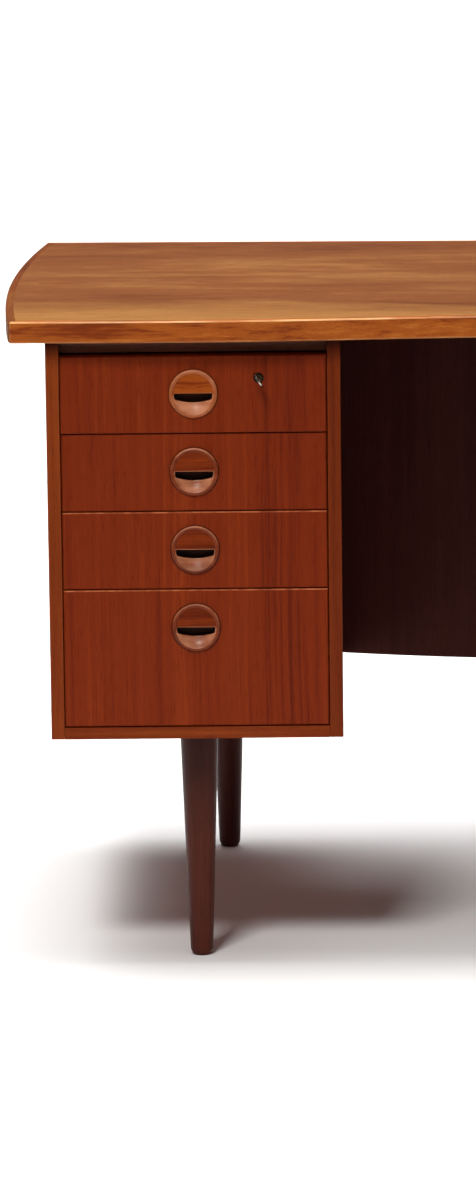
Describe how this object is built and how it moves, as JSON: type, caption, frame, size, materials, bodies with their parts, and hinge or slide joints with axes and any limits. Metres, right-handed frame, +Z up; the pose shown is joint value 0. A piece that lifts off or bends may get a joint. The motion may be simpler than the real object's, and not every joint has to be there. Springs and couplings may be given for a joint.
{
  "type": "writing desk with drawers",
  "caption": "Mid-century teak writing desk: bowed top over two drawer pedestals with round finger pulls, a lock each, tapered round legs and a curved modesty panel.",
  "frame": {"origin": "on the floor, under the middle of the desktop's box", "axes": "+Z up, -Y towards the sitter, +X to the sitter's right along the desk's length"},
  "size_m": [1.3538, 0.74, 0.73],
  "materials": {
    "teak_top": "oiled teak veneer, satin",
    "teak_lipping": "oiled solid teak, satin",
    "teak_front": "oiled teak veneer, satin, grain upright",
    "teak_side": "oiled teak veneer, satin",
    "teak_panel": "oiled teak veneer, satin",
    "teak_pull": "turned teak, satin",
    "teak_leg": "turned teak, satin",
    "beech": "plain beech, matt",
    "plywood": "thin plywood, matt",
    "steel": "zinc-plated steel",
    "brass": "worn brass",
    "nickel": "nickel-plated key, slightly worn"
  },
  "bodies": {
    "desk_frame": {"desktop_board": "teak_top", "desktop_lipping": "teak_lipping", "modesty_panel": "teak_panel", "drawer_runners": "beech", "leg_plates": "steel", "leg_fixings": "steel", "left_outer_side": "teak_side", "left_inner_side": "teak_side", "left_pedestal_back": "teak_panel", "left_pedestal_bottom": "teak_side", "left_pedestal_subtop": "teak_side", "left_front_leg": "teak_leg", "left_rear_leg": "teak_leg", "right_outer_side": "teak_side", "right_inner_side": "teak_side", "right_pedestal_back": "teak_panel", "right_pedestal_bottom": "teak_side", "right_pedestal_subtop": "teak_side", "right_front_leg": "teak_leg", "right_rear_leg": "teak_leg"},
    "left_drawer_1": {"left_drawer_1_front": "teak_front", "left_drawer_1_frame": "beech", "left_drawer_1_bottom": "plywood", "left_drawer_1_pull": "teak_pull", "left_lock_case": "steel"},
    "left_drawer_2": {"left_drawer_2_front": "teak_front", "left_drawer_2_frame": "beech", "left_drawer_2_bottom": "plywood", "left_drawer_2_pull": "teak_pull"},
    "left_drawer_3": {"left_drawer_3_front": "teak_front", "left_drawer_3_frame": "beech", "left_drawer_3_bottom": "plywood", "left_drawer_3_pull": "teak_pull"},
    "left_drawer_4": {"left_drawer_4_front": "teak_front", "left_drawer_4_frame": "beech", "left_drawer_4_bottom": "plywood", "left_drawer_4_pull": "teak_pull"},
    "left_lock": {"left_lock_plug": "brass", "left_lock_key": "nickel"},
    "left_bolt": {"left_lock_bolt": "brass"},
    "right_drawer_1": {"right_drawer_1_front": "teak_front", "right_drawer_1_frame": "beech", "right_drawer_1_bottom": "plywood", "right_drawer_1_pull": "teak_pull", "right_lock_case": "steel"},
    "right_drawer_2": {"right_drawer_2_front": "teak_front", "right_drawer_2_frame": "beech", "right_drawer_2_bottom": "plywood", "right_drawer_2_pull": "teak_pull"},
    "right_drawer_3": {"right_drawer_3_front": "teak_front", "right_drawer_3_frame": "beech", "right_drawer_3_bottom": "plywood", "right_drawer_3_pull": "teak_pull"},
    "right_drawer_4": {"right_drawer_4_front": "teak_front", "right_drawer_4_frame": "beech", "right_drawer_4_bottom": "plywood", "right_drawer_4_pull": "teak_pull"},
    "right_lock": {"right_lock_plug": "brass", "right_lock_key": "nickel"},
    "right_bolt": {"right_lock_bolt": "brass"}
  },
  "joints": [
    {"name": "left_drawer_1_slide", "type": "slide", "parent": "desk_frame", "child": "left_drawer_1", "axis": [0.0436, -0.999, 0], "range_m": [0, 0.38]},
    {"name": "left_drawer_2_slide", "type": "slide", "parent": "desk_frame", "child": "left_drawer_2", "axis": [0.0436, -0.999, 0], "range_m": [0, 0.38]},
    {"name": "left_drawer_3_slide", "type": "slide", "parent": "desk_frame", "child": "left_drawer_3", "axis": [0.0436, -0.999, 0], "range_m": [0, 0.38]},
    {"name": "left_drawer_4_slide", "type": "slide", "parent": "desk_frame", "child": "left_drawer_4", "axis": [0.0436, -0.999, 0], "range_m": [0, 0.38]},
    {"name": "left_lock_turn", "type": "hinge", "parent": "left_drawer_1", "child": "left_lock", "pos_m": [-0.37407, -0.33786, 0.663], "axis": [-0.0436, 0.999, 0], "range_deg": [0, 90]},
    {"name": "left_bolt_lift", "type": "slide", "parent": "left_drawer_1", "child": "left_bolt", "axis": [0, 0, 1], "range_m": [0, 0.0075]},
    {"name": "right_drawer_1_slide", "type": "slide", "parent": "desk_frame", "child": "right_drawer_1", "axis": [-0.0436, -0.999, 0], "range_m": [0, 0.38]},
    {"name": "right_drawer_2_slide", "type": "slide", "parent": "desk_frame", "child": "right_drawer_2", "axis": [-0.0436, -0.999, 0], "range_m": [0, 0.38]},
    {"name": "right_drawer_3_slide", "type": "slide", "parent": "desk_frame", "child": "right_drawer_3", "axis": [-0.0436, -0.999, 0], "range_m": [0, 0.38]},
    {"name": "right_drawer_4_slide", "type": "slide", "parent": "desk_frame", "child": "right_drawer_4", "axis": [-0.0436, -0.999, 0], "range_m": [0, 0.38]},
    {"name": "right_lock_turn", "type": "hinge", "parent": "right_drawer_1", "child": "right_lock", "pos_m": [0.37407, -0.33786, 0.663], "axis": [0.0436, 0.999, 0], "range_deg": [0, 90]},
    {"name": "right_bolt_lift", "type": "slide", "parent": "right_drawer_1", "child": "right_bolt", "axis": [0, 0, 1], "range_m": [0, 0.0075]}
  ],
  "couplings": [
    {"joint": "left_lock_turn", "follows": "left_bolt_lift", "rad_per_m": 209.44},
    {"joint": "right_lock_turn", "follows": "right_bolt_lift", "rad_per_m": 209.44}
  ]
}
